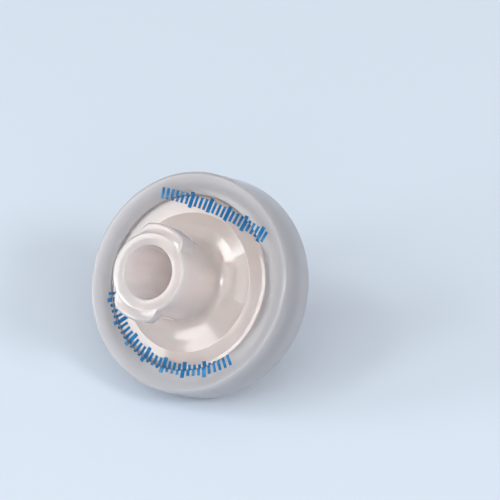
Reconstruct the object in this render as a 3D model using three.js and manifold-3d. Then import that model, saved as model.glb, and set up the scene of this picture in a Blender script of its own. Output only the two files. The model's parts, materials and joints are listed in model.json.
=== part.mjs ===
// A 13 mm syringe filter, lying on a bench as it comes to rest: on the rear edge of its band
// and the tip of its outlet, with the inlet up. Two polypropylene halves hold a PTFE membrane
// between them, and a band moulded over both rims seals them together.
//
// Sizes are in millimetres. Each piece is drawn about the flow axis: a radius is measured from
// that axis, and a station along it from the middle of the membrane, with + towards the inlet.
import * as THREE from 'three'
import { mergeVertices } from 'three/addons/utils/BufferGeometryUtils.js'
import Module from 'manifold-3d'

const wasm = await Module()
wasm.setup()

// ---- Driving dimensions ----------------------------------------------------------------

const facets = 48 // flats round the flow axis, a multiple of four
const clearance = 0.05 // between neighbouring pieces
const cutMargin = 0.5 // how far a cutting tool runs past what it cuts

const bandRadius = 9
const bandWall = 0.85 // outside the rims of the halves
const bandRound = 0.45 // of both outer edges
const bandInnerChamfer = 0.1
const faceRecess = 0.25 // of the inlet face behind the front of the band
const backRecess = 1 // of the outlet plate behind the rear of the band

const membraneThickness = 0.2
const rimWidth = 1.5 // from the edge of the membrane to the outside of the rims
const rimGap = 0.1 // round the edge of the membrane
const clampWidth = 1.85 // of the membrane's edge that is clamped

const lipCover = 1.1 // of the inlet rim, under the front of the band
const backLipCover = 0.5 // of the outlet rim, under the rear of the band
const flangeThickness = 1.3 // of the inlet rim
const faceStep = 0.6 // from the inlet rim up to the edge of the face
const faceWidth = 1.4 // the ring that carries the print
const faceRise = 0.07 // of that ring, from the band up to the foot of the dome
const shoulderHeight = 0.28 // of the lower, steeper cone of the dome
const crownHeight = 0.125 // from the brow of the dome up to the port's root
const browPlace = 0.35 // of the way from the port's root to the foot of the dome
const browRound = 0.4 // how far the brow is rounded to each side

const boreMouthRadius = 2.14 // of the female luer bore
const luerTaper = 0.03 // radius for each millimetre of length, a 6 % taper
const mouthChamfer = 0.1
const portWall = 1.06 // round the mouth of the bore
const portLength = 5.925 // above the dome
const portRound = 0.15 // of the outer edge at the end
const portFillet = 0.9
const floorThickness = 0.45 // under the bore
const orificeRadius = 0.9 // through the floor

const lugArc = 97.5 // degrees round the port
const lugFade = 15 // degrees over which each end of a lug runs out
const lugReach = 0.7 // outside the port
const lugThickness = 0.8 // at its thin end
const lugLead = 5 // rise of the helical underside in a full turn
const lugSlope = 0.25 // extra depth of a lug at its root
const lugRound = 0.15

const chamberDepth = 0.2 // at the edge of the membrane, on the inlet side
const chamberRise = 0.25 // more depth at the centre
const ribCount = 12
const ribWidth = 0.4
const ribStart = 1.6 // radius where the inlet ribs begin
const ribEndGap = 0.5 // from the outer end of a rib to the wall of the chamber

const plateThickness = 0.95 // of the outlet half
const grooveDepth = 0.3
const groovePitch = 0.9 // from one ring of the membrane support to the next
const grooveWidth = 0.5
const drainCount = 8
const drainWidth = 0.6

const tubeLength = 9.75 // behind the outlet plate
const tipRadius = 1.97 // of the male luer
const tipRound = 0.15
const tubeFillet = 0.7
const tubeBoreRadius = 0.83
const drainRadius = 1.3 // of the funnel at the head of the tube bore
const funnelDepth = 1

const polypropylene = { color: '#dfe0e2', roughness: 0.25, metalness: 0, transparent: true, opacity: 0.6 }
const frostedPolypropylene = { color: '#e6e6e8', roughness: 0.5, metalness: 0 }
const ptfe = { color: '#f4f1ee', roughness: 0.8, metalness: 0 }

// ---- Sizes that follow from them -------------------------------------------------------

const rimRadius = bandRadius - bandWall - clearance
const faceRadius = rimRadius - lipCover
const domeRadius = faceRadius - faceWidth
const membraneRadius = rimRadius - rimWidth
const chamberRadius = membraneRadius - clampWidth
const portRadius = boreMouthRadius + portWall

const seatStation = -membraneThickness / 2 - clearance
const plateBack = seatStation - plateThickness
const bandRear = plateBack - backRecess
const tipStation = plateBack - tubeLength

const clampStation = membraneThickness / 2 + clearance
const rimBottom = seatStation + clearance
const flangeTop = rimBottom + flangeThickness
const faceStation = flangeTop + faceStep
const bandFront = faceStation + faceRecess
const domeFoot = faceStation + faceRise
const browStation = domeFoot + shoulderHeight
const crownStation = browStation + crownHeight
const inletEnd = crownStation + portLength
const ceilingEdge = clampStation + chamberDepth
const ceilingCentre = ceilingEdge + chamberRise
const boreFloor = ceilingCentre + floorThickness

// ---- Shaping helpers -------------------------------------------------------------------

const radians = THREE.MathUtils.degToRad
const flatToCorner = 1 / Math.cos(Math.PI / facets)

// Points of an arc about a centre, between two angles in degrees from the radial direction.
function arc(radius, station, size, from, to, steps = 4) {
  return Array.from({ length: steps + 1 }, (_, i) => {
    const angle = radians(from + (to - from) * i / steps)
    return [radius + size * Math.cos(angle), station + size * Math.sin(angle)]
  })
}

// Revolves a closed outline of [radius, station] points. The flats lie on the true radius.
function turned(outline) {
  const points = [...outline, outline[0]].map(([radius, station]) =>
    new THREE.Vector2(radius * flatToCorner, station))
  return new THREE.LatheGeometry(points, facets, Math.PI / facets)
}

// A bar across the flow axis, from one radius to another, at an angle round the axis.
function radialBar(from, to, width, low, high, angle) {
  return new THREE.BoxGeometry(width, high - low, to - from)
    .translate(0, (low + high) / 2, (from + to) / 2)
    .rotateY(angle)
}

function toSolid(geometry) {
  const bare = geometry.clone()
  bare.deleteAttribute('normal')
  bare.deleteAttribute('uv')
  const merged = mergeVertices(bare)
  return new wasm.Manifold(new wasm.Mesh({
    numProp: 3,
    vertProperties: new Float32Array(merged.attributes.position.array),
    triVerts: new Uint32Array(merged.index.array),
  }))
}

function toGeometry(solid) {
  const mesh = solid.getMesh()
  const geometry = new THREE.BufferGeometry()
  geometry.setAttribute('position', new THREE.BufferAttribute(mesh.vertProperties, 3))
  geometry.setIndex(new THREE.BufferAttribute(mesh.triVerts, 1))
  return geometry
}

function pieceOf(name, geometry, material) {
  const mesh = new THREE.Mesh(geometry, new THREE.MeshStandardMaterial(material))
  mesh.name = name
  return mesh
}

// ---- Pieces ----------------------------------------------------------------------------

function membrane() {
  const radius = membraneRadius * flatToCorner
  const disc = new THREE.CylinderGeometry(
    radius, radius, membraneThickness, facets, 1, false, Math.PI / facets)
  return pieceOf('membrane', disc, ptfe)
}

// A channel moulded over both rims, with a lip in front of them and a deeper one behind.
function sealingBand() {
  const outerStart = bandRadius - bandRound
  const frontInner = faceRadius + clearance
  const rearInner = rimRadius - backLipCover
  const channelRadius = rimRadius + clearance
  const outline = [
    [rearInner, bandRear + bandInnerChamfer],
    [rearInner + bandInnerChamfer, bandRear],
    ...arc(outerStart, bandRear + bandRound, bandRound, -90, 0),
    ...arc(outerStart, bandFront - bandRound, bandRound, 0, 90),
    [frontInner + bandInnerChamfer, bandFront],
    [frontInner, bandFront - bandInnerChamfer],
    [frontInner, flangeTop + clearance],
    [channelRadius, flangeTop + clearance],
    [channelRadius, plateBack - clearance],
    [rearInner, plateBack - clearance],
  ]
  return pieceOf('sealing_band', turned(outline), frostedPolypropylene)
}

// The dome is a conical shoulder, a rounded brow and a gentler crown that meets the port.
function domePoints(steps = 5) {
  const foot = new THREE.Vector2(domeRadius, domeFoot)
  const root = new THREE.Vector2(portRadius + portFillet, crownStation)
  const brow = new THREE.Vector2(THREE.MathUtils.lerp(root.x, foot.x, browPlace), browStation)
  const before = brow.clone().lerp(foot, browRound / brow.distanceTo(foot))
  const after = brow.clone().lerp(root, browRound / brow.distanceTo(root))
  const bend = new THREE.QuadraticBezierCurve(before, brow, after)
  return [foot, ...bend.getPoints(steps), root].map((point) => [point.x, point.y])
}

function inletBody() {
  const boreAt = (station) => boreMouthRadius - luerTaper * (inletEnd - station)
  return turned([
    [orificeRadius, ceilingCentre],
    [chamberRadius, ceilingEdge],
    [chamberRadius, clampStation],
    [membraneRadius + rimGap, clampStation],
    [membraneRadius + rimGap, rimBottom],
    [rimRadius, rimBottom],
    [rimRadius, flangeTop],
    [faceRadius, flangeTop],
    [faceRadius, faceStation],
    ...domePoints(),
    ...arc(portRadius + portFillet, crownStation + portFillet, portFillet, -90, -180).slice(1),
    ...arc(portRadius - portRound, inletEnd - portRound, portRound, 0, 90, 2),
    [boreMouthRadius + mouthChamfer, inletEnd],
    [boreAt(inletEnd - mouthChamfer), inletEnd - mouthChamfer],
    [boreAt(boreFloor), boreFloor],
    [orificeRadius, boreFloor],
  ])
}

// One thread lug: its section is extruded along its length, then wrapped round the port. The
// underside is a right-hand helix, and the lug sinks into the port towards both ends.
function lug(middleAngle) {
  const root = portRadius - portWall / 2
  const outer = portRadius + lugReach
  const section = new THREE.Shape([
    new THREE.Vector2(root, inletEnd),
    new THREE.Vector2(outer - lugRound, inletEnd),
    new THREE.Vector2(outer, inletEnd - lugRound),
    new THREE.Vector2(outer, inletEnd - lugThickness),
    new THREE.Vector2(portRadius, inletEnd - lugThickness - lugSlope),
    new THREE.Vector2(root, inletEnd - lugThickness - lugSlope),
  ])
  const steps = Math.round(lugArc * facets / 360)
  const bar = new THREE.ExtrudeGeometry(section, { depth: lugArc, steps, bevelEnabled: false })
  const place = bar.attributes.position
  for (let i = 0; i < place.count; i += 1) {
    const turn = place.getZ(i)
    const shown = Math.min(1, turn / lugFade, (lugArc - turn) / lugFade)
    const over = Math.max(0, place.getX(i) - portRadius)
    const radius = (place.getX(i) - over * (1 - shown)) * flatToCorner
    const under = place.getY(i) < inletEnd - lugThickness / 2
    const station = place.getY(i) - (under ? lugLead * turn / 360 : 0)
    const angle = middleAngle - radians(turn - lugArc / 2)
    place.setXYZ(i, radius * Math.sin(angle), station, radius * Math.cos(angle))
  }
  return bar
}

// The female luer-lock half, with the ribs that keep the membrane off its ceiling.
function inletHousing() {
  let solid = toSolid(inletBody())
  for (const angle of [0, Math.PI]) {
    solid = solid.add(toSolid(lug(angle)))
  }
  const ribEnd = chamberRadius - ribEndGap
  for (let i = 0; i < ribCount; i += 1) {
    const angle = 2 * Math.PI * i / ribCount
    const rib = radialBar(ribStart, ribEnd, ribWidth, clampStation, boreFloor, angle)
    solid = solid.add(toSolid(rib))
  }
  return pieceOf('inlet_housing', toGeometry(solid), polypropylene)
}

// Rings of the membrane support, from the drain to the edge of the filtering area.
function supportRings() {
  const count = Math.floor((chamberRadius - drainRadius) / groovePitch)
  return Array.from({ length: count }, (_, i) => {
    const outer = chamberRadius - i * groovePitch
    const inner = outer - grooveWidth
    return [
      [outer, seatStation],
      [outer, seatStation - grooveDepth],
      [inner, seatStation - grooveDepth],
      [inner, seatStation],
    ]
  }).flat()
}

function outletBody() {
  const tubeAt = (station) => tipRadius + luerTaper * (station - tipStation)
  const filletStart = tubeAt(plateBack - tubeFillet)
  return turned([
    [tubeBoreRadius, tipStation],
    ...arc(tipRadius - tipRound, tipStation + tipRound, tipRound, -90, 0, 3),
    ...arc(filletStart + tubeFillet, plateBack - tubeFillet, tubeFillet, 180, 90),
    [rimRadius, plateBack],
    [rimRadius, seatStation],
    ...supportRings(),
    [drainRadius, seatStation],
    [drainRadius, seatStation - grooveDepth],
    [tubeBoreRadius, seatStation - grooveDepth - funnelDepth],
  ])
}

// The male luer half. Straight drains cross the support rings and lead to the tube.
function outletHousing() {
  let solid = toSolid(outletBody())
  const low = seatStation - grooveDepth
  const high = seatStation + cutMargin
  for (let i = 0; i < drainCount; i += 1) {
    const angle = 2 * Math.PI * i / drainCount
    const drain = radialBar(tubeBoreRadius, chamberRadius, drainWidth, low, high, angle)
    solid = solid.subtract(toSolid(drain))
  }
  return pieceOf('outlet_housing', toGeometry(solid), polypropylene)
}

// ---- The filter at rest ----------------------------------------------------------------

// The bench touches the rear edge of the band and the edge of the tip, and both are rounded.
function lieAngle() {
  const run = (bandRear + bandRound) - (tipStation + tipRound)
  const rise = (bandRadius - bandRound) - (tipRadius - tipRound)
  return Math.atan2(rise, run) + Math.asin((bandRound - tipRound) / Math.hypot(run, rise))
}

const filter = new THREE.Group()
filter.add(inletHousing(), outletHousing(), membrane(), sealingBand())
filter.rotation.x = Math.PI - lieAngle() // the inlet ends up towards -Y and +Z

// The origin is on the bench, under the middle of the filter's box.
filter.updateMatrixWorld(true)
const box = new THREE.Box3().setFromObject(filter, true)
const middle = box.getCenter(new THREE.Vector3())
filter.position.set(-middle.x, -middle.y, -box.min.z)

export default filter
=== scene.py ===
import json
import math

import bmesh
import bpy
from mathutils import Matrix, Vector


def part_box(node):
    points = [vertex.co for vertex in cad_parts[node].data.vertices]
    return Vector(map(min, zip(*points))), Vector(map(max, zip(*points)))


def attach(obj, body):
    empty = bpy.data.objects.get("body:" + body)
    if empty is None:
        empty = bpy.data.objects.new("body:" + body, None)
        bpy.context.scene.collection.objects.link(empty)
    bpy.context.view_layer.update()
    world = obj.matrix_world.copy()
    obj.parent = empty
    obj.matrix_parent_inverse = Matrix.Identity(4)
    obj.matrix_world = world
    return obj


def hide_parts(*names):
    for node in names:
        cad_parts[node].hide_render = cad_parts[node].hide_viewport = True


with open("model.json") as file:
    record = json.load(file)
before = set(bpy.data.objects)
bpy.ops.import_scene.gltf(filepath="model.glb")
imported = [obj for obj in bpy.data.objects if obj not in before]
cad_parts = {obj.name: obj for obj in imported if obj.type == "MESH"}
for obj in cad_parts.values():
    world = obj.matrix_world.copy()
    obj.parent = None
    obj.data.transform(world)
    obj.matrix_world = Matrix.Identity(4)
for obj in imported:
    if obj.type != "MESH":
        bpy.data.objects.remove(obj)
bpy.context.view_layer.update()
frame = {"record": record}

# %% [markdown]
# # A disposable syringe filter
# This lesson finishes a small laboratory part: two moulded polypropylene halves with a white
# membrane between them, and a frosted band moulded round their rims. The loaded frame gives the
# true place and size of each piece, and every finished piece stays inside it.
#
# Almost everything here is turned about one line, the flow axis. So each piece is drawn
# upright about that line, in millimetres, and laid down on the bench when it is finished.

MM = 0.001  # in metres
mounts = {mount["name"]: mount for mount in frame["record"]["mounts"]}
flow_axis = Vector(mounts["luer_inlet_face"]["axis"]).normalized()
membrane_low, membrane_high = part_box("membrane")
membrane_middle = (membrane_low + membrane_high) / 2


def lying_matrix():
    """Takes a point drawn upright, in millimetres, to its place on the bench, in metres."""
    across = Vector((1, 0, 0))
    columns = (across, flow_axis.cross(across), flow_axis)
    turn = Matrix(columns).transposed().to_4x4()
    return Matrix.Translation(membrane_middle) @ turn @ Matrix.Scale(MM, 4)


lying = lying_matrix()
tilt = math.degrees(math.asin(flow_axis.z))
print(f"flow axis {tuple(round(v, 4) for v in flow_axis)}, {tilt:.1f} degrees above the bench")


# %% [markdown]
# # Shared sizes
# All sizes are in millimetres and degrees. The radii of the round pieces are read from the
# frame: a disc that leans only to the front keeps its whole width across the bench. Stations
# run along the flow axis from the middle of the membrane, and the two ends come from the
# mounts. The rest are sizes where two pieces meet, and what belongs to one piece alone stands
# in that piece's own cell.

# %% Shared sizes
def half_width(node):
    low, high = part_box(node)
    return (high.x - low.x) / 2 / MM


def station_of(mount):
    return (Vector(mounts[mount]["pos_m"]) - membrane_middle).dot(flow_axis) / MM


INSIDE = 0.01  # how far the fine meshes stay inside the frame's box
BAND_RADIUS = half_width("sealing_band") - INSIDE
RIM_RADIUS = half_width("inlet_housing")
MEMBRANE_RADIUS = half_width("membrane")
INLET_END = station_of("luer_inlet_face") - INSIDE
TIP_END = station_of("luer_outlet_face") + INSIDE
print(f"band {BAND_RADIUS:.2f}, rim {RIM_RADIUS:.2f}, membrane {MEMBRANE_RADIUS:.2f} in radius")
print(f"inlet at {INLET_END:.2f}, tip at {TIP_END:.2f}")

GAP = 0.02  # between the band and the halves
BAND_FRONT = 2.05
RIM_TOP = 1.2  # front of the rim, under the band's lip
PLATE_BACK = -1.1
FACE_RADIUS = RIM_RADIUS - 1.1  # of the printed ring, up to the band's lip
FACE_STATION = 1.8
CHAMBER_RADIUS = MEMBRANE_RADIUS - 1.85
LUER_TAPER = 0.03  # 6 percent across is 3 percent on each side


# %% [markdown]
# # Outlines with rounded corners
# A moulded part has no knife edges, and the light shows that: each edge catches a thin
# highlight. So each outline is a list of corners, and every corner says how far it is rounded.
# An arc is better here than a Bevel modifier, because each radius stays exact.

# %% Rounded outlines
ARC_STEPS = 7
LONGEST_SIDE = 1
HIDDEN_ROUND = 0.03  # of an edge round the membrane
FINE_ROUND = 0.05  # of an edge where pieces meet, or in the face of the plate
SOFT_ROUND = 0.08  # of a rim, a lip or a rib


def rounded(corners):
    """Turns a closed list of (radius, station, rounding) corners into points, with true arcs."""
    points = []
    for i, (radius, station, size) in enumerate(corners):
        here = Vector((radius, station))
        if size == 0:
            points.append(here)
            continue
        back = (Vector(corners[i - 1][:2]) - here).normalized()
        ahead = (Vector(corners[(i + 1) % len(corners)][:2]) - here).normalized()
        half = back.angle(ahead) / 2
        centre = here + (back + ahead).normalized() * size / math.sin(half)
        start = here + back * size / math.tan(half) - centre
        sweep = start.angle_signed(here + ahead * size / math.tan(half) - centre)
        for step in range(ARC_STEPS + 1):
            arm = start.copy()
            arm.rotate(Matrix.Rotation(-sweep * step / ARC_STEPS, 2))
            points.append(centre + arm)
    return points


def divided(points):
    """Adds points to the long sides of an outline, so that no face becomes a long strip."""
    result = []
    for here, ahead in zip(points, [*points[1:], points[0]]):
        parts = math.ceil((ahead - here).length / LONGEST_SIDE)
        result += [here.lerp(ahead, part / parts) for part in range(parts)]
    return result


square = rounded([(0, 0, 0.5), (4, 0, 0.5), (4, 4, 0.5), (0, 4, 0.5)])
print(f"a rounded square takes {len(square)} points, and {len(divided(square))} once divided")


# %% [markdown]
# # Nodes in code
# The shapes and the finishes below are node trees, and one short helper adds a node with its
# settings and links. The others open a tree of shape nodes, close it, and run it on an empty
# object. The result is a plain mesh, with no modifier left on it.

# %% Helpers for nodes
def add(tree, kind, values=None, **settings):
    """Adds a node, sets its properties, and gives its inputs a value or a link."""
    node = tree.nodes.new(kind)
    for name, value in settings.items():
        setattr(node, name, value)
    for key, value in (values or {}).items():
        if isinstance(value, bpy.types.NodeSocket):
            tree.links.new(value, node.inputs[key])
        else:
            node.inputs[key].default_value = value
    return node


def new_shape_tree(name, inputs):
    """A Geometry Nodes tree with named inputs and one geometry output."""
    tree = bpy.data.node_groups.new(name, "GeometryNodeTree")
    for label, kind in inputs.items():
        tree.interface.new_socket(name=label, in_out="INPUT", socket_type=kind)
    tree.interface.new_socket(
        name="Geometry", in_out="OUTPUT", socket_type="NodeSocketGeometry")
    return tree, add(tree, "NodeGroupInput").outputs


def close_tree(tree, geometry, material):
    """Ends a tree the way a finished shape needs: real geometry, with its material."""
    real = add(tree, "GeometryNodeRealizeInstances", {"Geometry": geometry})
    painted = add(tree, "GeometryNodeSetMaterial", {
        "Geometry": real.outputs[0],
        "Material": material,
    })
    add(tree, "NodeGroupOutput", {"Geometry": painted.outputs[0]})
    print(f"{tree.name}: a tree of {len(tree.nodes)} nodes")


def new_object(name, data):
    """An object in the scene that holds this mesh, lamp or camera."""
    made = bpy.data.objects.new(name, data)
    bpy.context.scene.collection.objects.link(made)
    return made


def grow(tree, sizes):
    """Runs a tree with the given inputs and returns what it makes as a plain mesh."""
    host = new_object("host", bpy.data.meshes.new("host"))
    modifier = host.modifiers.new("shape", "NODES")
    modifier.node_group = tree
    for socket in tree.interface.items_tree:
        if socket.in_out == "INPUT":
            modifier[socket.identifier] = sizes[socket.name]
    evaluated = host.evaluated_get(bpy.context.evaluated_depsgraph_get())
    mesh = bpy.data.meshes.new_from_object(evaluated)
    bpy.data.objects.remove(host)
    return mesh


# %% [markdown]
# # Turning with Geometry Nodes
# The main pieces follow one rule, so one small node tree makes them all. A grid has a column
# for each step round the axis and a row for each point of the outline. Each of its points looks
# up its outline point and swings it round. Spin would do it too, but here the number of steps
# stays an input, and the seams are merged in the same place.

# %% The turning tree
ROUND_STEPS = 192
SEAM = 0.0001  # points nearer than this are one


def turning_tree():
    tree, given = new_shape_tree("turned about the flow axis", {
        "Outline": "NodeSocketObject",
        "Steps": "NodeSocketInt",
        "Material": "NodeSocketMaterial",
    })
    source = add(tree, "GeometryNodeObjectInfo", {"Object": given["Outline"]})
    outline = source.outputs["Geometry"]
    size = add(tree, "GeometryNodeAttributeDomainSize", {"Geometry": outline})
    rows = size.outputs["Point Count"]
    columns = add(tree, "FunctionNodeIntegerMath", {0: given["Steps"], 1: 1}, operation="ADD")
    grid = add(tree, "GeometryNodeMeshGrid", {
        "Vertices X": columns.outputs[0],
        "Vertices Y": rows,
    })
    index = add(tree, "GeometryNodeInputIndex").outputs[0]
    row = add(tree, "FunctionNodeIntegerMath", {0: index, 1: rows}, operation="MODULO")
    column = add(tree, "FunctionNodeIntegerMath", {0: index, 1: rows}, operation="DIVIDE_FLOOR")
    corner = add(tree, "GeometryNodeSampleIndex", {
        "Geometry": outline,
        "Value": add(tree, "GeometryNodeInputPosition").outputs[0],
        "Index": row.outputs[0],
    }, data_type="FLOAT_VECTOR")
    share = add(tree, "ShaderNodeMath", {
        0: column.outputs[0],
        1: given["Steps"],
    }, operation="DIVIDE")
    angle = add(tree, "ShaderNodeMath", {0: share.outputs[0], 1: math.tau}, operation="MULTIPLY")
    place = add(tree, "ShaderNodeVectorRotate", {
        "Vector": corner.outputs[0],
        "Axis": (0, 0, 1),
        "Angle": angle.outputs[0],
    }, rotation_type="AXIS_ANGLE")
    moved = add(tree, "GeometryNodeSetPosition", {
        "Geometry": grid.outputs["Mesh"],
        "Position": place.outputs[0],
    })
    closed = add(tree, "GeometryNodeMergeByDistance", {
        "Geometry": moved.outputs[0],
        "Distance": SEAM,
    })
    close_tree(tree, closed.outputs[0], given["Material"])
    return tree


turning = turning_tree()


def turned(points, material, closed=True):
    """An outline of (radius, station) points swept once round the flow axis."""
    row = divided(points)
    loop = [(p.x, 0, p.y) for p in ([*row, row[0]] if closed else row)]
    data = bpy.data.meshes.new("outline")
    data.from_pydata(loop, [(i, i + 1) for i in range(len(loop) - 1)], [])
    outline = new_object("outline", data)
    mesh = grow(turning, {"Outline": outline, "Steps": ROUND_STEPS, "Material": material})
    bpy.data.objects.remove(outline)
    return mesh


# %% [markdown]
# # Bars round the axis
# Ribs, drains and printed ticks are all one thing: a bar that points away from the axis,
# repeated round it. The tree carries a rounded section along a line, puts a copy at each
# angle, and makes the copies real, because the export keeps only real geometry.

# %% The tree of bars
BAR_ARC_STEPS = 4


def bars_tree():
    tree, given = new_shape_tree("bars round the flow axis", {
        "Count": "NodeSocketInt",
        "First angle": "NodeSocketFloat",
        "Angle between": "NodeSocketFloat",
        "Inner radius": "NodeSocketFloat",
        "Outer radius": "NodeSocketFloat",
        "Width": "NodeSocketFloat",
        "Low station": "NodeSocketFloat",
        "High station": "NodeSocketFloat",
        "Edge rounding": "NodeSocketFloat",
        "Material": "NodeSocketMaterial",
    })
    low, high = given["Low station"], given["High station"]
    height = add(tree, "ShaderNodeMath", {0: high, 1: low}, operation="SUBTRACT")
    middle = add(tree, "ShaderNodeMath", {
        0: height.outputs[0],
        1: 0.5,
        2: low,
    }, operation="MULTIPLY_ADD")
    section = add(tree, "GeometryNodeCurvePrimitiveQuadrilateral", {
        "Width": given["Width"],
        "Height": height.outputs[0],
    })
    soft = add(tree, "GeometryNodeFilletCurve", {
        "Curve": section.outputs[0],
        "Radius": given["Edge rounding"],
        "Count": BAR_ARC_STEPS,
    }, mode="POLY")
    inner = add(tree, "ShaderNodeCombineXYZ", {"X": given["Inner radius"]})
    outer = add(tree, "ShaderNodeCombineXYZ", {"X": given["Outer radius"]})
    spine = add(tree, "GeometryNodeCurvePrimitiveLine", {
        "Start": inner.outputs[0],
        "End": outer.outputs[0],
    })
    upright = add(tree, "GeometryNodeSetCurveNormal", {"Curve": spine.outputs[0]}, mode="Z_UP")
    bar = add(tree, "GeometryNodeCurveToMesh", {
        "Curve": upright.outputs[0],
        "Profile Curve": soft.outputs[0],
        "Fill Caps": True,
    })
    lift = add(tree, "ShaderNodeCombineXYZ", {"Z": middle.outputs[0]})
    places = add(tree, "GeometryNodeMeshLine", {
        "Count": given["Count"],
        "Start Location": lift.outputs[0],
        "Offset": (0, 0, 0),
    })
    angle = add(tree, "ShaderNodeMath", {
        0: add(tree, "GeometryNodeInputIndex").outputs[0],
        1: given["Angle between"],
        2: given["First angle"],
    }, operation="MULTIPLY_ADD")
    turn = add(tree, "ShaderNodeCombineXYZ", {"Z": angle.outputs[0]})
    copies = add(tree, "GeometryNodeInstanceOnPoints", {
        "Points": places.outputs[0],
        "Instance": bar.outputs[0],
        "Rotation": turn.outputs[0],
    })
    close_tree(tree, copies.outputs[0], given["Material"])
    return tree


bar_ring = bars_tree()


def bars(material, *, count, first, between, radii, width, stations, rounding):
    """Bars round the axis, from the first angle on, as a plain mesh."""
    return grow(bar_ring, {
        "Count": count,
        "First angle": math.radians(first),
        "Angle between": math.radians(between),
        "Inner radius": radii[0],
        "Outer radius": radii[1],
        "Width": width,
        "Low station": stations[0],
        "High station": stations[1],
        "Edge rounding": rounding,
        "Material": material,
    })


# %% [markdown]
# # Joining, cutting and laying down
# Each half is one moulding, so its lugs and ribs are fused with it. That matters here more
# than on an opaque part: light passes through, and any wall left inside would show.

# %% Joining, cutting and laying down
SMOOTH_BELOW = 35  # degrees between two faces


def combined(mesh, tools, operation):
    """Fuses tools with a mesh, cuts them from it, or keeps what they share with it."""
    objects = [new_object("part", part) for part in (mesh, *tools)]
    for tool in objects[1:]:
        modifier = objects[0].modifiers.new("join", "BOOLEAN")
        modifier.object = tool
        modifier.operation = operation
        modifier.solver = "MANIFOLD"
    evaluated = objects[0].evaluated_get(bpy.context.evaluated_depsgraph_get())
    result = bpy.data.meshes.new_from_object(evaluated)
    for part in objects:
        bpy.data.objects.remove(part)
    return result


def finished(name, mesh, node=None):
    """Lays a mesh down on the bench as a piece of the filter."""
    mesh.transform(lying)
    mesh.shade_smooth()
    mesh.set_sharp_from_angle(angle=math.radians(SMOOTH_BELOW))
    piece = new_object(name, mesh)
    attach(piece, "root")
    if node:
        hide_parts(node)
    shape = bmesh.new()
    shape.from_mesh(mesh)
    size = shape.calc_volume(signed=True) / MM**3
    loose = sum(not edge.is_manifold for edge in shape.edges)
    shape.free()
    print(f"{name}: {size:.1f} mm3, {len(mesh.polygons)} faces, {loose} open edges")


# %% [markdown]
# # Colours and patterns
# Colours are written as a colour picker shows them, and one function turns them into the
# linear values that shaders work with. A pattern reads the place on the object in metres, so
# its scale is one over the size of its grain.

# %% Colours and patterns
def linear(colour):
    """An sRGB hex colour as the linear values that shaders take."""
    parts = [int(colour[i:i + 2], 16) / 255 for i in (1, 3, 5)]
    return (*(p / 12.92 if p <= 0.04045 else ((p + 0.055) / 1.055) ** 2.4 for p in parts), 1)


def per_grain(size_mm):
    """The scale of a pattern whose grains are about this many millimetres wide."""
    return 1 / (size_mm * MM)


def new_material(name):
    material = bpy.data.materials.new(name)
    material.use_nodes = True
    material.node_tree.nodes.clear()
    return material, material.node_tree


print(f"a middle grey, #808080, is {linear('#808080')[0]:.3f} in linear light")

# %% [markdown]
# # Natural polypropylene
# The halves are injection moulded from unpigmented polypropylene. Its crystals scatter a part
# of the light, so a thin wall is clear and a thick one milky, and shadows in it are warm and
# soft. The mould was polished, so a clear skin over it mirrors the lamps crisply, with the
# faint waves of a plastic that shrank as it cooled.

# %% Natural polypropylene
PP_IOR = 1.49
PP_SCATTER = (1.0, 0.9, 0.9)  # red light travels a little further
WAVE_SIZE = 2.5
CLOUD_SIZE = 1.2


def natural_polypropylene():
    material, tree = new_material("natural polypropylene, moulded glossy")
    place = add(tree, "ShaderNodeTexCoord").outputs["Object"]
    wave = add(tree, "ShaderNodeTexNoise", {"Vector": place, "Scale": per_grain(WAVE_SIZE)})
    skin = add(tree, "ShaderNodeBump", {
        "Height": wave.outputs["Fac"],
        "Distance": 0.02 * MM,
        "Strength": 0.5,
    })
    cloud = add(tree, "ShaderNodeTexNoise", {"Vector": place, "Scale": per_grain(CLOUD_SIZE)})
    haze = add(tree, "ShaderNodeMapRange", {
        "Value": cloud.outputs["Fac"],
        "To Min": 0.2,
        "To Max": 0.26,
    })
    shader = add(tree, "ShaderNodeBsdfPrincipled", {
        "Base Color": linear("#fdebe6"),
        "Roughness": haze.outputs[0],
        "IOR": PP_IOR,
        "Transmission Weight": 0.6,
        "Subsurface Weight": 1.0,
        "Subsurface Radius": PP_SCATTER,
        "Subsurface Scale": 15 * MM,
        "Specular IOR Level": 0.25,
        "Coat Weight": 1.0,
        "Coat Roughness": 0.07,
        "Coat IOR": PP_IOR,
        "Normal": skin.outputs[0],
        "Coat Normal": skin.outputs[0],
    })
    add(tree, "ShaderNodeOutputMaterial", {"Surface": shader.outputs[0]})
    return material


clear = natural_polypropylene()
print(f"{clear.name}: {len(clear.node_tree.nodes)} nodes")

# %% [markdown]
# # Frosted polypropylene
# The band is moulded round the halves in a second mould, whose walls are spark-eroded. That
# leaves a fine grain, so the band is greyer and milkier than the halves, and its highlights
# are broad and soft. The real grain is a few hundredths of a millimetre and would not show,
# so it is drawn ten times as coarse, over the slow waves of the shrinking plastic.

# %% Frosted polypropylene
FROST_WAVE_SIZE = 1.5
FROST_SIZE = 0.3


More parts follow.
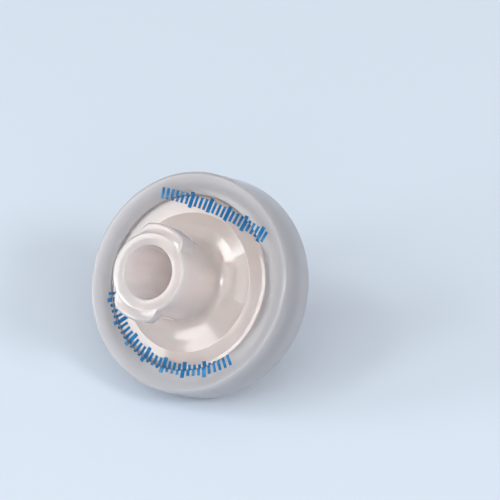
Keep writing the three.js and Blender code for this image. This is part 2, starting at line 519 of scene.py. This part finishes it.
def frosted_polypropylene():
    material, tree = new_material("natural polypropylene, moulded frosted")
    place = add(tree, "ShaderNodeTexCoord").outputs["Object"]
    wave = add(tree, "ShaderNodeTexNoise", {
        "Vector": place,
        "Scale": per_grain(FROST_WAVE_SIZE),
    })
    skin = add(tree, "ShaderNodeBump", {
        "Height": wave.outputs["Fac"],
        "Distance": 0.01 * MM,
        "Strength": 0.5,
    })
    frost = add(tree, "ShaderNodeTexNoise", {"Vector": place, "Scale": per_grain(FROST_SIZE)})
    haze = add(tree, "ShaderNodeMapRange", {
        "Value": frost.outputs["Fac"],
        "To Min": 0.4,
        "To Max": 0.5,
    })
    shader = add(tree, "ShaderNodeBsdfPrincipled", {
        "Base Color": linear("#bfbcc2"),
        "Roughness": haze.outputs[0],
        "IOR": PP_IOR,
        "Transmission Weight": 0.5,
        "Subsurface Weight": 1.0,
        "Subsurface Radius": PP_SCATTER,
        "Subsurface Scale": 10 * MM,
        "Specular IOR Level": 0.15,
        "Coat Weight": 0.7,
        "Coat Roughness": 0.11,
        "Coat IOR": PP_IOR,
        "Normal": skin.outputs[0],
        "Coat Normal": skin.outputs[0],
    })
    add(tree, "ShaderNodeOutputMaterial", {"Surface": shader.outputs[0]})
    return material


frosted = frosted_polypropylene()
print(f"{frosted.name}: {len(frosted.node_tree.nodes)} nodes")

# %% [markdown]
# # Membrane and ink
# The membrane is expanded PTFE: pure white, matt and soft, with a fibrous grain that is much
# finer than it is drawn here. The ink is a blue pad print, a few hundredths of a millimetre
# thick, with the uneven cover of a soft pad. It is firm on the face and worn thin on the band.

# %% Membrane and ink
FIBRE_SIZE = 0.15
COVER_SIZE = 0.5
COVER_FADE = 0.25  # how softly firm ink turns into weak


def expanded_ptfe():
    material, tree = new_material("expanded PTFE membrane")
    fibre = add(tree, "ShaderNodeTexNoise", {
        "Vector": add(tree, "ShaderNodeTexCoord").outputs["Object"],
        "Scale": per_grain(FIBRE_SIZE),
        "Detail": 4.0,
    })
    felt = add(tree, "ShaderNodeBump", {
        "Height": fibre.outputs["Fac"],
        "Distance": 0.02 * MM,
        "Strength": 0.5,
    })
    shader = add(tree, "ShaderNodeBsdfPrincipled", {
        "Base Color": linear("#fbf6f4"),
        "Roughness": 0.75,
        "IOR": 1.35,
        "Subsurface Weight": 0.3,
        "Subsurface Scale": 0.3 * MM,
        "Normal": felt.outputs[0],
    })
    add(tree, "ShaderNodeOutputMaterial", {"Surface": shader.outputs[0]})
    return material


def pad_ink(name, firm, weak, cover_start):
    material, tree = new_material(name)
    pad = add(tree, "ShaderNodeTexNoise", {
        "Vector": add(tree, "ShaderNodeTexCoord").outputs["Object"],
        "Scale": per_grain(COVER_SIZE),
        "Detail": 3.0,
    })
    cover = add(tree, "ShaderNodeMapRange", {
        "Value": pad.outputs["Fac"],
        "From Min": cover_start,
        "From Max": cover_start + COVER_FADE,
    })
    colour = add(tree, "ShaderNodeMix", {
        "Factor": cover.outputs[0],
        "A": linear(firm),
        "B": linear(weak),
    }, data_type="RGBA")
    shader = add(tree, "ShaderNodeBsdfPrincipled", {
        "Base Color": colour.outputs["Result"],
        "Roughness": 0.55,
        "IOR": 1.5,
        "Specular IOR Level": 0.12,
    })
    add(tree, "ShaderNodeOutputMaterial", {"Surface": shader.outputs[0]})
    return material


ptfe = expanded_ptfe()
ink = pad_ink("blue pad-printing ink", "#004e7c", "#0b6698", 0.5)
faint_ink = pad_ink("blue pad-printing ink, worn thin", "#005484", "#3f7da8", 0.45)
for material in (ptfe, ink, faint_ink):
    print(f"{material.name}: {len(material.node_tree.nodes)} nodes")


# %% [markdown]
# # The sealing band
# The band is a channel moulded over both rims. It holds the filter together, and its front
# and rear lips turn in over the halves, so its section is a C. The front is dished a little,
# as thick plastic sinks when it cools, so it mirrors a lamp only at one side. The two outer
# edges are well rounded, where a thumb would meet them.

# %% The sealing band
BAND_REAR = -2.1
BAND_ROUND = 0.45
BAND_EDGE = 0.25  # rounding of its front edge
BAND_DRAFT = 0.1  # how much narrower the band is there, so that it leaves its mould
FRONT_LIP = FACE_RADIUS + 0.04
REAR_LIP = RIM_RADIUS - 0.5
LIP_TOP = BAND_FRONT - 0.09  # the dished front is lowest at the lip


def sealing_band():
    channel = RIM_RADIUS + GAP
    return turned(rounded([
        (REAR_LIP, BAND_REAR, SOFT_ROUND),
        (BAND_RADIUS, BAND_REAR, BAND_ROUND),
        (BAND_RADIUS - BAND_DRAFT, BAND_FRONT, BAND_EDGE),
        (FRONT_LIP, LIP_TOP, SOFT_ROUND),
        (FRONT_LIP, RIM_TOP + GAP, 0),
        (channel, RIM_TOP + GAP, 0),
        (channel, PLATE_BACK - GAP, 0),
        (REAR_LIP, PLATE_BACK - GAP, 0),
    ]), frosted)


finished("overmoulded_band", sealing_band(), "sealing_band")

# %% [markdown]
# # The membrane
# A plain disc, clamped at its edge between the halves. Its outline ends on the axis at both
# faces, so it is turned as an open line.

# %% The membrane
MEMBRANE_THICKNESS = 0.2


def membrane_disc():
    half = MEMBRANE_THICKNESS / 2
    outline = rounded([
        (0, half, 0),
        (MEMBRANE_RADIUS, half, HIDDEN_ROUND),
        (MEMBRANE_RADIUS, -half, HIDDEN_ROUND),
        (0, -half, 0),
    ])
    return turned(outline[::-1], ptfe, closed=False)


finished("membrane_disc", membrane_disc(), "membrane")

# %% [markdown]
# # The inlet half
# From the outside in: a rim that the band grips, a flat ring that carries the print, a dome
# with a conical shoulder, and a port. The ring's outer edge slopes down into the band's lip,
# and that narrow slope catches a bright line. The port's bore is a 6 percent luer taper,
# which a syringe tip seals in. Under the dome is the shallow chamber that spreads the liquid
# over the membrane.

# %% The sizes of the inlet half
RIM_BOTTOM = -0.1
CLAMP_STATION = 0.15  # of the face that clamps the membrane
CLAMP_PLAY = 0.1  # round the membrane's edge
CEILING_EDGE = 0.35
CEILING_CENTRE = 0.6
CEILING_ROUND = 0.1
ORIFICE_RADIUS = 0.9
ORIFICE_ROUND = 0.06  # at the ceiling

EDGE_WIDTH = 0.32  # of the slope at the outer edge of the printed ring
EDGE_FALL = 0.045
EDGE_ROUND = 0.06
SLOPE_ROUND = 0.1
FACE_RISE = 0.07  # of the ring, from its edge to the dome
DOME_RADIUS = FACE_RADIUS - 1.4
DOME_FOOT = FACE_STATION + FACE_RISE
DOME_ROUND = 0.3
BROW_PLACE = 0.35  # of the way from the root of the port to the foot of the dome
BROW_STATION = 2.15
BROW_ROUND = 4.0
CROWN_STATION = 2.275

PORT_RADIUS = 3.2
PORT_FILLET = 0.9
PORT_ROUND = 0.2
BORE_RADIUS = 2.14
MOUTH_ROUND = 0.12  # of the bore, and of the orifice in its floor
BORE_FLOOR = 1.05
FLOOR_ROUND = 0.15

crown_radius = PORT_RADIUS + PORT_FILLET
brow_radius = crown_radius + BROW_PLACE * (DOME_RADIUS - crown_radius)
crown_slope = (CROWN_STATION - BROW_STATION) / (brow_radius - crown_radius)
crown_at_port = CROWN_STATION + (crown_radius - PORT_RADIUS) * crown_slope
bore_at_floor = BORE_RADIUS - LUER_TAPER * (INLET_END - BORE_FLOOR)
print(f"the bore narrows from {2 * BORE_RADIUS:.2f} to {2 * bore_at_floor:.2f} across")


# %% The turned body of the inlet half
def inlet_body():
    rim_inside = MEMBRANE_RADIUS + CLAMP_PLAY
    return turned(rounded([
        (ORIFICE_RADIUS, CEILING_CENTRE, ORIFICE_ROUND),
        (CHAMBER_RADIUS, CEILING_EDGE, CEILING_ROUND),
        (CHAMBER_RADIUS, CLAMP_STATION, HIDDEN_ROUND),
        (rim_inside, CLAMP_STATION, HIDDEN_ROUND),
        (rim_inside, RIM_BOTTOM, HIDDEN_ROUND),
        (RIM_RADIUS, RIM_BOTTOM, FINE_ROUND),
        (RIM_RADIUS, RIM_TOP, SOFT_ROUND),
        (FACE_RADIUS, RIM_TOP, FINE_ROUND),
        (FACE_RADIUS, FACE_STATION - EDGE_FALL, EDGE_ROUND),
        (FACE_RADIUS - EDGE_WIDTH, FACE_STATION, SLOPE_ROUND),
        (DOME_RADIUS, DOME_FOOT, DOME_ROUND),
        (brow_radius, BROW_STATION, BROW_ROUND),
        (PORT_RADIUS, crown_at_port, PORT_FILLET),
        (PORT_RADIUS, INLET_END, PORT_ROUND),
        (BORE_RADIUS, INLET_END, MOUTH_ROUND),
        (bore_at_floor, BORE_FLOOR, FLOOR_ROUND),
        (ORIFICE_RADIUS, BORE_FLOOR, MOUTH_ROUND),
    ]), clear)


turned_inlet = inlet_body()
print(f"the turned body has {len(turned_inlet.polygons)} faces")

# %% [markdown]
# # The lugs
# Two thread lugs outside the port catch the collar of a luer-lock syringe. The underside of
# each climbs like a right-hand thread, and both ends sink into the port. No tree is needed
# for two of them: a section is carried round in steps and its corners are joined.

# %% The lugs
LUG_STEPS = 48
LUG_ARC = 97.5  # degrees from end to end
LUG_FADE = 26  # degrees over which each end sinks into the port
LUG_REACH = 0.7  # out of the port
LUG_SINK = 0.3  # into it, at the two ends
LUG_THICKNESS = 0.8
LUG_LEAD = 5  # of the thread, in one turn
LUG_SLOPE = 0.25  # of the underside, down towards the port
LUG_ROUND = 0.18
LUG_LEAST_ROUND = 0.001  # never 0, so that all sections have the same number of points
LUG_DROP = 0.03  # below the end of the port
LUG_ROOT = PORT_RADIUS - 0.7
LUG_FOOT = PORT_RADIUS - 0.4


def lug_section(turn):
    """The section of a lug after this many degrees, as (radius, station) points."""
    shown = min(1, turn / LUG_FADE, (LUG_ARC - turn) / LUG_FADE)
    eased = shown * shown * (3 - 2 * shown)  # from 0 to 1 with a soft start and a soft end
    outer = PORT_RADIUS - LUG_SINK + (LUG_REACH + LUG_SINK) * eased
    under = INLET_END - LUG_THICKNESS - LUG_LEAD * turn / 360
    foot = under - LUG_SLOPE * (outer - LUG_FOOT) / LUG_REACH
    top = INLET_END - LUG_DROP
    rounding = LUG_ROUND * eased + LUG_LEAST_ROUND
    return rounded([
        (LUG_ROOT, top, 0),
        (LUG_ROOT, foot, 0),
        (LUG_FOOT, foot, 0),
        (outer, under, rounding),
        (outer, top, rounding),
    ])


def lug(middle):
    """One lug, whose middle is at this angle round the port."""
    shape = bmesh.new()
    rings = []
    for step in range(LUG_STEPS + 1):
        turn = LUG_ARC * step / LUG_STEPS
        angle = math.radians(middle + LUG_ARC / 2 - turn)
        ring = [(r * math.cos(angle), r * math.sin(angle), z) for r, z in lug_section(turn)]
        rings.append([shape.verts.new(point) for point in ring])
    for one, two in zip(rings, rings[1:]):
        for i in range(len(one)):
            shape.faces.new((one[i - 1], one[i], two[i], two[i - 1]))
    shape.faces.new(rings[0])
    shape.faces.new(rings[-1])
    bmesh.ops.recalc_face_normals(shape, faces=shape.faces)
    mesh = bpy.data.meshes.new("lug")
    shape.to_mesh(mesh)
    shape.free()
    mesh.materials.append(clear)
    return mesh


lugs = [lug(90), lug(270)]
print(f"{len(lugs)} lugs of {len(lugs[0].polygons)} faces each")

# %% [markdown]
# # The ribs, and one moulding
# Ribs under the ceiling of the chamber hold the membrane off it, so that liquid reaches all
# of it. They are bars from the tree above. The body, the lugs and the ribs then become one
# solid, as they are in the mould.

# %% The ribs, and one moulding
RIB_COUNT = 12
RIB_WIDTH = 0.4
RIB_START = 1.6
RIB_END = CHAMBER_RADIUS - 0.5
rib_top = (CEILING_CENTRE + BORE_FLOOR) / 2  # hidden in the ceiling

ribs = bars(
    clear, count=RIB_COUNT, first=0, between=360 / RIB_COUNT, radii=(RIB_START, RIB_END),
    width=RIB_WIDTH, stations=(CLAMP_STATION, rib_top), rounding=SOFT_ROUND)
inlet_mesh = combined(turned_inlet, [*lugs, ribs], "UNION")
finished("luer_lock_half", inlet_mesh, "inlet_housing")

# %% [markdown]
# # The outlet half
# A plate that closes the filter, with a male luer tube behind it. Its face carries rings that
# hold the membrane up, and straight drains cross them and lead the liquid to the tube. The
# rings are in the turned outline, and the drains are bars cut from it.

# %% The outlet half
PLATE_TOP = -0.15
GROOVE_DEPTH = 0.3
GROOVE_PITCH = 0.9
GROOVE_WIDTH = 0.5
GROOVE_FLOOR = PLATE_TOP - GROOVE_DEPTH
DRAIN_COUNT = 8
DRAIN_WIDTH = 0.6
DRAIN_RADIUS = 1.3  # of the round hollow where they meet
DRAIN_STEP = 0.001  # above the floor of the grooves, so that no two faces share a plane
DRAIN_CUT = 0.5  # above the plate
FUNNEL_DEPTH = 1
FUNNEL_ROUND = 0.2
TIP_RADIUS = 1.97
TIP_ROUND = 0.15
TUBE_BORE = 0.83
TUBE_FILLET = 0.7


def support_rings():
    """The corners of the grooves, from the outermost in; the rings stand between them."""
    corners = []
    outer = CHAMBER_RADIUS
    while outer - GROOVE_WIDTH > DRAIN_RADIUS:
        inner = outer - GROOVE_WIDTH
        corners += [
            (outer, PLATE_TOP, FINE_ROUND),
            (outer, GROOVE_FLOOR, FINE_ROUND),
            (inner, GROOVE_FLOOR, FINE_ROUND),
            (inner, PLATE_TOP, FINE_ROUND),
        ]
        outer -= GROOVE_PITCH
    return corners


def outlet_body():
    tube_at_plate = TIP_RADIUS + LUER_TAPER * (PLATE_BACK - TIP_END)
    return turned(rounded([
        (TUBE_BORE, TIP_END, SOFT_ROUND),
        (TIP_RADIUS, TIP_END, TIP_ROUND),
        (tube_at_plate, PLATE_BACK, TUBE_FILLET),
        (RIM_RADIUS, PLATE_BACK, SOFT_ROUND),
        (RIM_RADIUS, PLATE_TOP, FINE_ROUND),
        *support_rings(),
        (DRAIN_RADIUS, PLATE_TOP, FINE_ROUND),
        (DRAIN_RADIUS, GROOVE_FLOOR, FINE_ROUND),
        (TUBE_BORE, GROOVE_FLOOR - FUNNEL_DEPTH, FUNNEL_ROUND),
    ]), clear)


drains = bars(
    clear, count=DRAIN_COUNT, first=90, between=360 / DRAIN_COUNT,
    radii=(TUBE_BORE, CHAMBER_RADIUS), width=DRAIN_WIDTH,
    stations=(GROOVE_FLOOR + DRAIN_STEP, PLATE_TOP + DRAIN_CUT), rounding=FINE_ROUND)
outlet_mesh = combined(outlet_body(), [drains], "DIFFERENCE")
finished("male_luer_half", outlet_mesh, "outlet_housing")

# %% [markdown]
# # The print
# A real filter names its maker and its pore size here. This one carries no words: two rows of
# plain ticks stand in their place, in the same blue. Each row lies on an arc of its own and
# crosses the step from the ring to the band, as a pad prints over whatever is under it. So
# the ink is a thin film over the whole surface, first on the ring and then on the band, and
# upright bars cut the ticks out of it.

# %% The films of ink
INK_DEPTH = 0.015
INK_SINK = 0.005  # into the plastic, so that no gap shows
INK_WRAP = 0.1  # down the side of the printed ring
PRINT_START = DOME_RADIUS + 0.15


def ink_over(path, material):
    """A film of ink over the whole turned surface that this line of points makes."""
    over, under = [], []
    for i, point in enumerate(path):
        along = path[min(i + 1, len(path) - 1)] - path[max(i - 1, 0)]
        out = Vector((-along.y, along.x)).normalized()
        over.append(point + out * INK_DEPTH)
        under.append(point - out * INK_SINK)
    return turned(under + over[::-1], material)


def ink_on_face():
    """Ink over the printed ring and its sloping edge."""
    fall = FACE_RISE * (PRINT_START - DOME_RADIUS) / (FACE_RADIUS - DOME_RADIUS)
    return ink_over(rounded([
        (PRINT_START, DOME_FOOT - fall, 0),
        (FACE_RADIUS - EDGE_WIDTH, FACE_STATION, SLOPE_ROUND),
        (FACE_RADIUS, FACE_STATION - EDGE_FALL, EDGE_ROUND),
        (FACE_RADIUS, FACE_STATION - EDGE_FALL - INK_WRAP, 0),
    ]), ink)


def ink_on_band():
    """Ink over the lip and the front of the band."""
    return ink_over(rounded([
        (FRONT_LIP, LIP_TOP - SOFT_ROUND, 0),
        (FRONT_LIP, LIP_TOP, SOFT_ROUND),
        (BAND_RADIUS - BAND_DRAFT, BAND_FRONT, 0),
    ]), faint_ink)


face_film = ink_on_face()
band_film = ink_on_band()
print(f"films of {len(face_film.polygons)} and {len(band_film.polygons)} faces")

# %% The printed ticks
TICK_PITCH = 0.43
TICK_WIDTH = 0.24
TICK_HEIGHT = 1.3
TICK_ROUND = 0.01
SHORT_SHARE = 0.7  # how high a short tick is beside a long one
LONG_EVERY = 4  # ticks
LONG_WIDER = 1.4
TICK_CUT = 0.5  # of the cutting bars, past the surfaces that carry ink
UPPER_ROW = {"centre": (-0.1, -19.4), "radius": 25, "first": 78.5, "last": 102.5}
LOWER_ROW = {"centre": (0.5, 0.8), "radius": 6.95, "first": -148, "last": -38}


def row_of_ticks(material, centre, radius, first, last):
    """Ticks along an arc of its own: short ones, with a longer one at every fourth place."""
    pitch = math.degrees(TICK_PITCH / radius)
    count = int((last - first) / pitch)
    parts = []
    for share, wider, skip, step in ((SHORT_SHARE, 1, 0, 1), (1, LONG_WIDER, 1, LONG_EVERY)):
        inner = radius + (1 - share) * TICK_HEIGHT / 2
        outer = radius + (1 + share) * TICK_HEIGHT / 2
        parts.append(bars(
            material, count=(count - skip) // step, first=first + skip * pitch,
            between=step * pitch, radii=(inner, outer), width=TICK_WIDTH * wider,
            stations=(FACE_STATION - TICK_CUT, BAND_FRONT + TICK_CUT), rounding=TICK_ROUND))
    mesh = combined(parts[0], parts[1:], "UNION")
    mesh.transform(Matrix.Translation((*centre, 0)))
    return mesh


def printed(name, film, material):
    """Cuts both rows of ticks out of a film of ink."""
    upper, lower = (row_of_ticks(material, **row) for row in (UPPER_ROW, LOWER_ROW))
    rows = combined(upper, [lower], "UNION")
    finished(name, combined(film, [rows], "INTERSECT"))


printed("printed_scale", face_film, ink)
printed("printed_scale_faint", band_film, faint_ink)

# %% [markdown]
# # The stage
# A wide floor of a plain pale colour, and a world of nearly the same tone, so that a low view
# has no hard horizon. The floor is matt, so it shows a soft shadow and no reflections.

# %% The stage
FLOOR_REACH = 1.5  # metres each way
WORLD_COLOUR = linear("#e2e0df")
WORLD_LEVEL = 0.65


def matt_floor():
    material, tree = new_material("matt pale board")
    shader = add(tree, "ShaderNodeBsdfPrincipled", {
        "Base Color": linear("#bdc8d5"),
        "Roughness": 0.85,
    })
    add(tree, "ShaderNodeOutputMaterial", {"Surface": shader.outputs[0]})
    return material


signs = ((-1, -1), (1, -1), (1, 1), (-1, 1))
floor_corners = [(x * FLOOR_REACH, y * FLOOR_REACH, 0) for x, y in signs]
floor_mesh = bpy.data.meshes.new("floor")
floor_mesh.from_pydata(floor_corners, [], [(0, 1, 2, 3)])
floor_mesh.materials.append(matt_floor())
new_object("floor", floor_mesh)

world = bpy.data.worlds.new("pale room")
bpy.context.scene.world = world
world.use_nodes = True
world.node_tree.nodes.clear()
sky = add(world.node_tree, "ShaderNodeBackground", {
    "Color": WORLD_COLOUR,
    "Strength": WORLD_LEVEL,
})
add(world.node_tree, "ShaderNodeOutputWorld", {"Surface": sky.outputs[0]})
print(f"a floor {2 * FLOOR_REACH:g} m wide, under a world at {WORLD_LEVEL} of its colour")

# %% [markdown]
# # The lamps
# Each lamp is a soft box, named for what it does. It is placed by its direction from the
# filter, where 0 degrees is the front and 90 the right, and sized by the angle that it fills.
# Its brightness is that of the box itself, where 1 is the full white of a picture, so a box
# can be moved or resized without changing how its reflection looks. The key and the fill
# light the plastic, and each of the others is there for one reflection in its glossy skin.
#
# At a plain level, lamps and world together light the bench to 1. The last line printed says
# how far they are above that here, and so how much lighter than written the floor renders.

# %% The lamps
LAMP_DISTANCE = 1.0  # metres


def direction(azimuth, elevation):
    """The direction from the filter that these degrees stand for."""
    around, above = math.radians(azimuth), math.radians(elevation)
    return Vector((
        math.sin(around) * math.cos(above),
        -math.cos(around) * math.cos(above),
        math.sin(above),
    ))


def soft_box(name, azimuth, elevation, width, height, brightness):
    """Adds a soft box that fills this many degrees, and returns its light on the bench."""
    towards = direction(azimuth, elevation)
    data = bpy.data.lights.new(name, "AREA")
    data.shape = "RECTANGLE"
    data.size = 2 * LAMP_DISTANCE * math.tan(math.radians(width) / 2)
    data.size_y = 2 * LAMP_DISTANCE * math.tan(math.radians(height) / 2)
    data.energy = brightness * math.pi * data.size * data.size_y
    lamp = new_object(name, data)
    lamp.rotation_mode = "QUATERNION"
    lamp.location = membrane_middle + towards * LAMP_DISTANCE
    lamp.rotation_quaternion = towards.to_track_quat("Z", "Y")
    full = brightness * math.radians(width) * math.radians(height) / math.pi
    print(f"{name} gives {full:.2f} of full white, {full * towards.z:.2f} on the bench")
    return full * towards.z


# azimuth, elevation, width and height in degrees, then brightness
lamp_light = sum((
    soft_box("key", 82, 38, 15, 12, 20),
    soft_box("front_fill", 38, 40, 56, 56, 2),
    soft_box("left_window", -46, 31, 17, 18, 5),
    soft_box("low_window", -37, 21, 11, 4, 9),
    soft_box("low_left_card", -50, 10, 18, 15, 6),
    soft_box("overhead", -24, 53.5, 13, 8, 10),
    soft_box("front_card", -14, 11, 20, 13, 5),
    soft_box("strip", -16, 31, 13, 25, 7),
))
world_light = WORLD_LEVEL * WORLD_COLOUR[1]
print(f"lamps and world light the bench to {lamp_light + world_light:.2f} of full white")

# %% [markdown]
# # The camera
# It looks from the right and from above, through a long lens, so that the port leans to the
# left and its bore shows.

# %% The camera
CAMERA_AZIMUTH = 36.8
CAMERA_ELEVATION = 35.8
CAMERA_DISTANCE = 0.24  # metres
CAMERA_FIELD = 9.53
CLIP_FACTOR = 100  # it sees from a hundredth of its distance to a hundred times that
DISC_OFFSET = (0.0041, 0.0028)  # metres from the middle of the membrane to the view's centre


def place_camera():
    back = direction(CAMERA_AZIMUTH, CAMERA_ELEVATION)
    right = direction(CAMERA_AZIMUTH + 90, 0)
    up = back.cross(right)
    target = membrane_middle + right * DISC_OFFSET[0] + up * DISC_OFFSET[1]
    data = bpy.data.cameras.new("camera")
    data.lens = data.sensor_width / 2 / math.tan(math.radians(CAMERA_FIELD) / 2)
    data.clip_start = CAMERA_DISTANCE / CLIP_FACTOR
    data.clip_end = CAMERA_DISTANCE * CLIP_FACTOR
    camera = new_object("camera", data)
    camera.rotation_mode = "QUATERNION"
    camera.location = target + back * CAMERA_DISTANCE
    camera.rotation_quaternion = back.to_track_quat("Z", "Y")
    bpy.context.scene.camera = camera
    print(f"a lens of {data.lens:.0f} mm, {CAMERA_DISTANCE} m away")


place_camera()
bpy.context.scene.view_settings.view_transform = "Standard"
